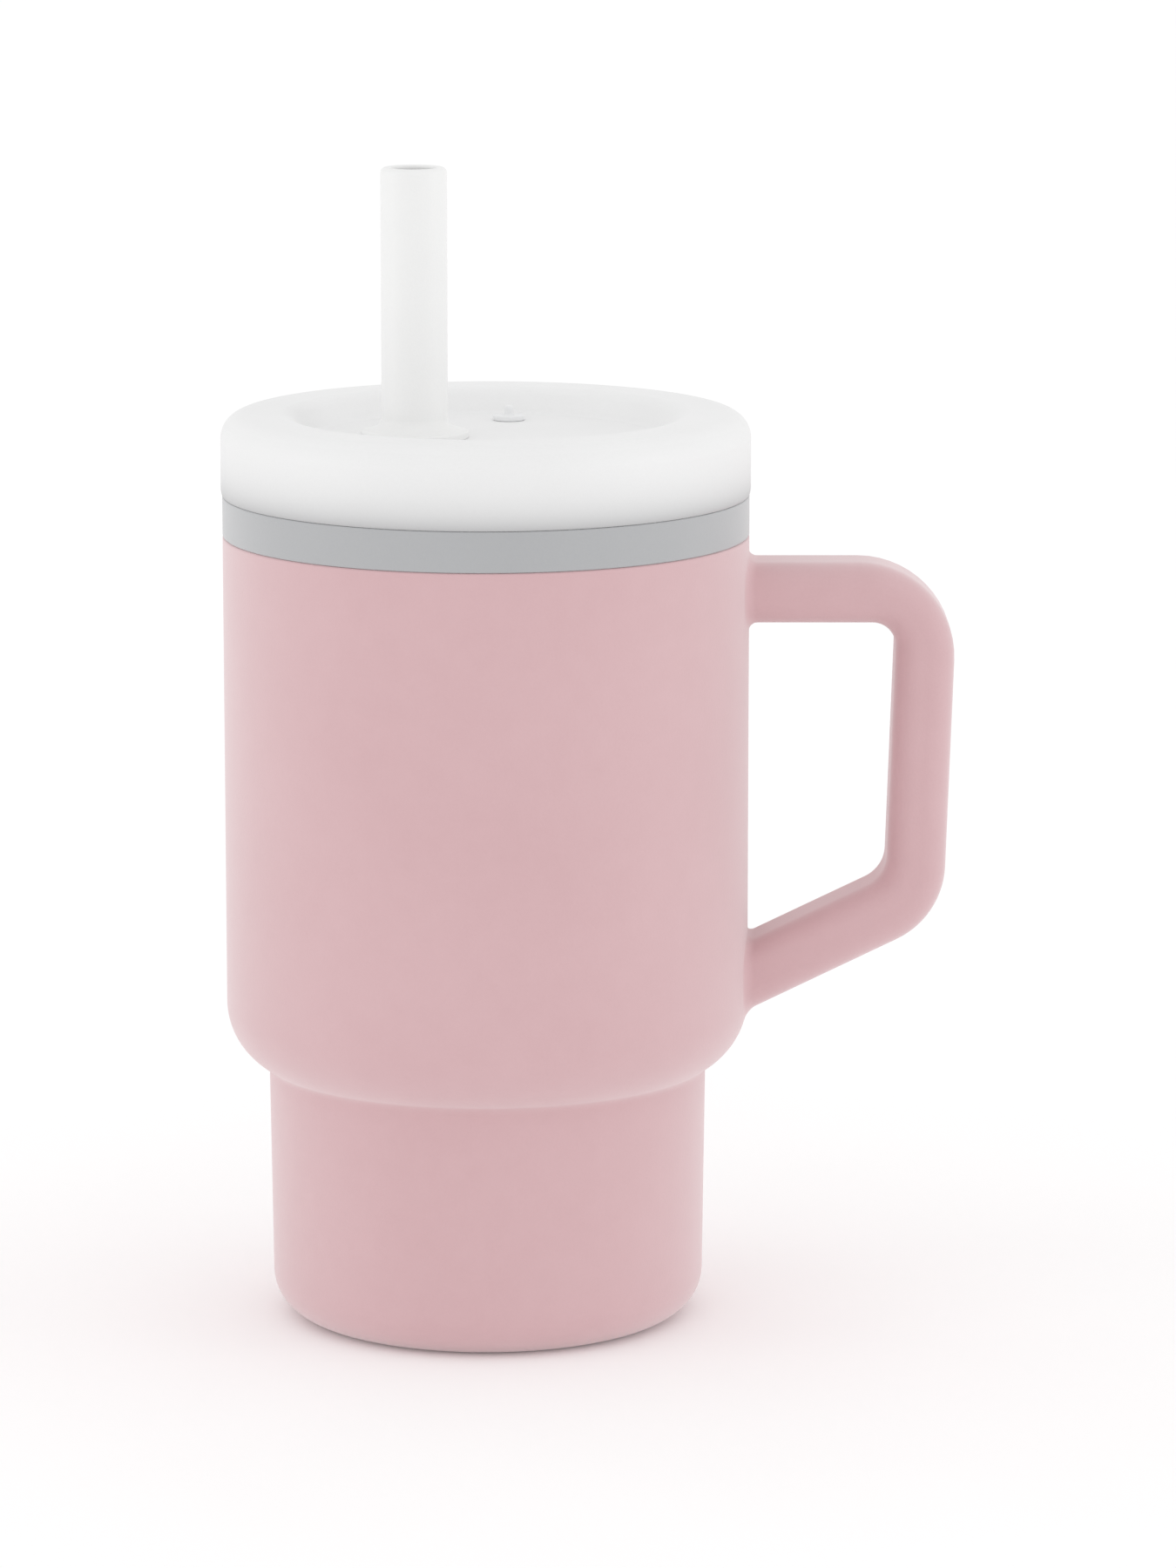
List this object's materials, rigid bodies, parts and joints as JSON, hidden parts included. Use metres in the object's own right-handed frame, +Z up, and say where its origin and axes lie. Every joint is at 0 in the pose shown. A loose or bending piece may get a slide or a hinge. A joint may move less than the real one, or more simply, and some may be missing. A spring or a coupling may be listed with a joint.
{
  "type": "toddler straw cup",
  "caption": "Small straw cup for a toddler, with a soft sleeve, a side handle, a stepped foot, a dished push-on lid and an upright straw.",
  "frame": {"origin": "middle of the flat underside, on the cup's upright axis", "axes": "+Z up along the cup's axis, +X out through the middle of the handle"},
  "size_m": [0.1086, 0.0784, 0.1724],
  "materials": {
    "sleeve_pink": "matt moulded silicone",
    "cup_grey": "satin moulded polypropylene",
    "lid_white": "matt moulded silicone",
    "straw_white": "satin soft silicone",
    "seal_clear": "smooth translucent silicone"
  },
  "bodies": {
    "cup": {"silicone_sleeve": "sleeve_pink", "inner_cup": "cup_grey"},
    "seal": {"lid_gasket": "seal_clear"},
    "lid": {"lid_cap": "lid_white", "vent_valve": "seal_clear"},
    "straw": {"straw_spout": "straw_white", "straw_valve": "seal_clear", "straw_tube": "straw_white"}
  },
  "joints": [
    {"name": "lid_lift", "type": "slide", "parent": "cup", "child": "seal", "axis": [0, 0, 1], "range_m": [0, 0.14]},
    {"name": "lid_turn", "type": "hinge", "parent": "seal", "child": "lid", "pos_m": [0, 0, 0.1212], "axis": [0, 0, 1], "continuous": true},
    {"name": "straw_pull", "type": "slide", "parent": "lid", "child": "straw", "axis": [0, 0, 1], "range_m": [0, 0.132]}
  ]
}
